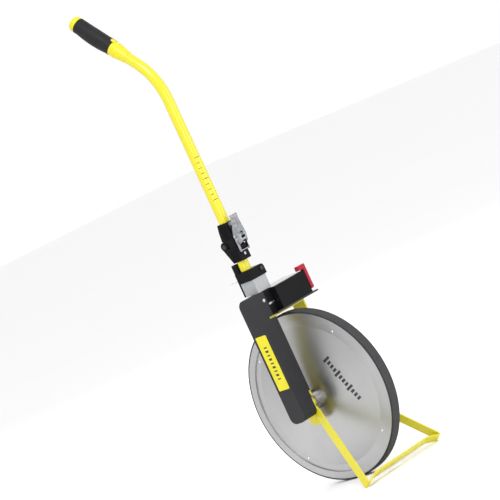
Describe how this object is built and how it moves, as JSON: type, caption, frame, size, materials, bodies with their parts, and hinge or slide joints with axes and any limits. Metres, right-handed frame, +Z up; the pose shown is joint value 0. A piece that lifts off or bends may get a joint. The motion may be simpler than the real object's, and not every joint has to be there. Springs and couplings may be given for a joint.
{
  "type": "measuring wheel",
  "caption": "Folding distance measuring wheel with belt-driven drum counter, side drive leg, folding bent handle with toggle latch, rubber grip and a swing-down stand.",
  "frame": {"origin": "on the ground under the axle, in the wheel's middle plane", "axes": "+X forward to the stand's feet, +Y away from the drive leg, along the axle, +Z up along the handle's tube"},
  "size_m": [0.3183, 0.216, 0.9406],
  "materials": {
    "tyre_rubber": "grooved, matt",
    "disc_metal": "satin",
    "rim_metal": "satin",
    "hub_metal": "turned",
    "steel": "bright zinc plate",
    "chrome": "polished",
    "bush_bronze": "plain",
    "yellow_steel": "gloss powder coat",
    "yellow_tube": "gloss powder coat",
    "yellow_plastic": "moulded",
    "leg_plastic": "fine moulded grain",
    "black_plastic": "moulded",
    "black_metal": "satin paint",
    "block_zinc": "cast and blasted",
    "grip_rubber": "moulded with fine ribs",
    "red_plastic": "moulded",
    "drum_white": "smooth",
    "pulley_plastic": "moulded teeth",
    "belt_rubber": "toothed",
    "window": "clear moulding"
  },
  "bodies": {
    "frame": {"fork": "yellow_steel", "bearing_near": "bush_bronze", "bearing_far": "bush_bronze", "pivot_washers": "steel", "stop_pin": "steel", "leg_spacers": "steel", "leg_screws": "steel", "leg_case": "leg_plastic", "leg_cover": "leg_plastic", "cover_screws": "steel", "leg_label": "yellow_plastic", "drive_belt": "belt_rubber", "idler_pin": "steel", "base_plate": "black_metal", "base_bolts": "steel", "bridge_cover": "black_plastic", "drive_clip": "steel", "counter_case": "black_plastic", "counter_window": "window", "case_screws": "steel", "reset_pivot": "steel", "neck_block": "block_zinc", "neck_collar": "black_plastic", "collar_screw": "black_metal", "stow_pin": "steel", "lower_tube": "yellow_tube", "lower_hinge_block": "black_plastic", "hinge_pin": "black_metal", "catch_lug": "black_plastic", "catch_rivet": "steel"},
    "wheel": {"tyre": "tyre_rubber", "rim": "rim_metal", "disc_near": "disc_metal", "disc_far": "disc_metal", "hub": "hub_metal", "disc_rivets": "steel", "axle": "steel", "drive_pulley": "pulley_plastic", "axle_washer": "steel", "axle_nut": "steel"},
    "counter_drive": {"counter_shaft": "steel", "counter_pulley": "pulley_plastic", "number_drum_1": "drum_white"},
    "drum_2": {"number_drum_2": "drum_white"},
    "drum_3": {"number_drum_3": "drum_white"},
    "drum_4": {"number_drum_4": "drum_white"},
    "drum_5": {"number_drum_5": "drum_white"},
    "idler": {"belt_idler": "drum_white"},
    "reset": {"reset_lever": "red_plastic"},
    "handle": {"upper_hinge_block": "black_plastic", "handle_tube": "yellow_tube", "grip_collar": "yellow_plastic", "grip_sleeve": "grip_rubber", "grip_cap": "yellow_plastic", "latch_base": "chrome", "latch_pivot": "steel"},
    "latch": {"latch_lever": "chrome", "bail_pivot": "steel"},
    "bail": {"latch_bail": "chrome"},
    "stand": {"stand": "yellow_steel"}
  },
  "joints": [
    {"name": "wheel_spin", "type": "hinge", "parent": "frame", "child": "wheel", "pos_m": [0, 0, 0.15915], "axis": [0, 1, 0], "continuous": true},
    {"name": "counter_spin", "type": "hinge", "parent": "frame", "child": "counter_drive", "pos_m": [0, 0, 0.34915], "axis": [0, 1, 0], "continuous": true},
    {"name": "drum_2_spin", "type": "hinge", "parent": "frame", "child": "drum_2", "pos_m": [0, 0, 0.34915], "axis": [0, 1, 0], "continuous": true},
    {"name": "drum_3_spin", "type": "hinge", "parent": "frame", "child": "drum_3", "pos_m": [0, 0, 0.34915], "axis": [0, 1, 0], "continuous": true},
    {"name": "drum_4_spin", "type": "hinge", "parent": "frame", "child": "drum_4", "pos_m": [0, 0, 0.34915], "axis": [0, 1, 0], "continuous": true},
    {"name": "drum_5_spin", "type": "hinge", "parent": "frame", "child": "drum_5", "pos_m": [0, 0, 0.34915], "axis": [0, 1, 0], "continuous": true},
    {"name": "idler_spin", "type": "hinge", "parent": "frame", "child": "idler", "pos_m": [0.0063, 0, 0.25916], "axis": [0, 1, 0], "continuous": true},
    {"name": "reset_press", "type": "hinge", "parent": "frame", "child": "reset", "pos_m": [0.0265, 0.059, 0.33915], "axis": [0, -1, 0], "range_deg": [0, 12], "stiffness_Nm_per_rad": 0.1},
    {"name": "handle_fold", "type": "hinge", "parent": "frame", "child": "handle", "pos_m": [-0.0145, -0.0439, 0.46815], "axis": [0, -1, 0], "range_deg": [0, 140]},
    {"name": "latch_open", "type": "hinge", "parent": "handle", "child": "latch", "pos_m": [0.0205, -0.0439, 0.46865], "axis": [0, 1, 0], "range_deg": [0, 110]},
    {"name": "bail_swing", "type": "hinge", "parent": "latch", "child": "bail", "pos_m": [0.0186, -0.0439, 0.47865], "axis": [0, 1, 0], "range_deg": [-110, 0]},
    {"name": "stand_fold", "type": "hinge", "parent": "frame", "child": "stand", "pos_m": [0, 0, 0.15915], "axis": [0, 1, 0], "range_deg": [0, 148]}
  ],
  "couplings": [
    {"joint": "counter_spin", "follows": "wheel_spin", "ratio": 1},
    {"joint": "drum_2_spin", "follows": "wheel_spin", "ratio": 0.1},
    {"joint": "drum_3_spin", "follows": "wheel_spin", "ratio": 0.01},
    {"joint": "drum_4_spin", "follows": "wheel_spin", "ratio": 0.001},
    {"joint": "drum_5_spin", "follows": "wheel_spin", "ratio": 0.0001},
    {"joint": "idler_spin", "follows": "wheel_spin", "ratio": 2.32},
    {"joint": "bail_swing", "follows": "latch_open", "ratio": -1}
  ]
}
